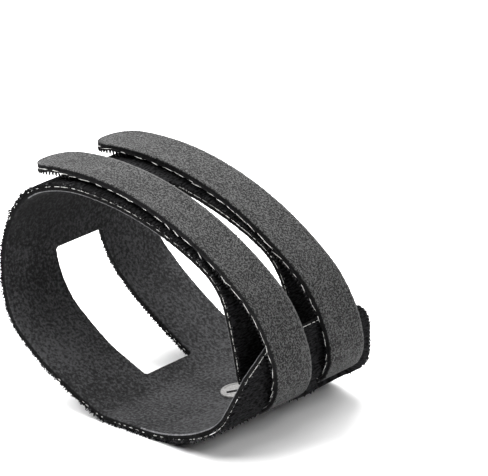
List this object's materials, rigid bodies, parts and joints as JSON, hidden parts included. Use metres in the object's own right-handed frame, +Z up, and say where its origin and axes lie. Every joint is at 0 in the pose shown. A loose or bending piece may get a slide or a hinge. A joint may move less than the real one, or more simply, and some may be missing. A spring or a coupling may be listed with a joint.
{
  "type": "wrist brace",
  "caption": "Soft wrap-around wrist brace: a wide band of loop fabric with a brushed lining and a thumb window, rolled into a loop and closed by felt straps on hook tape",
  "frame": {"origin": "middle of the brace's underside, on the surface that it rests on", "axes": "+Z up; Y along the loop's axis, from the rim with the slanted outer end towards the other rim; +X across the loop, towards the side where the straps wrap the overlap"},
  "size_m": [0.0758, 0.054, 0.0572],
  "materials": {
    "loop_fabric": "black ribbed loop pile",
    "lining": "dark grey brushed knit",
    "felt": "heather grey felt",
    "hook_tape": "black hook tape",
    "tag": "pale smooth woven disc"
  },
  "bodies": {
    "root": {"band_outer": "loop_fabric", "band_lining": "lining", "round_tag": "tag", "strap_near_felt": "felt", "strap_near_hook": "hook_tape", "strap_far_felt": "felt", "strap_far_hook": "hook_tape"}
  },
  "joints": []
}
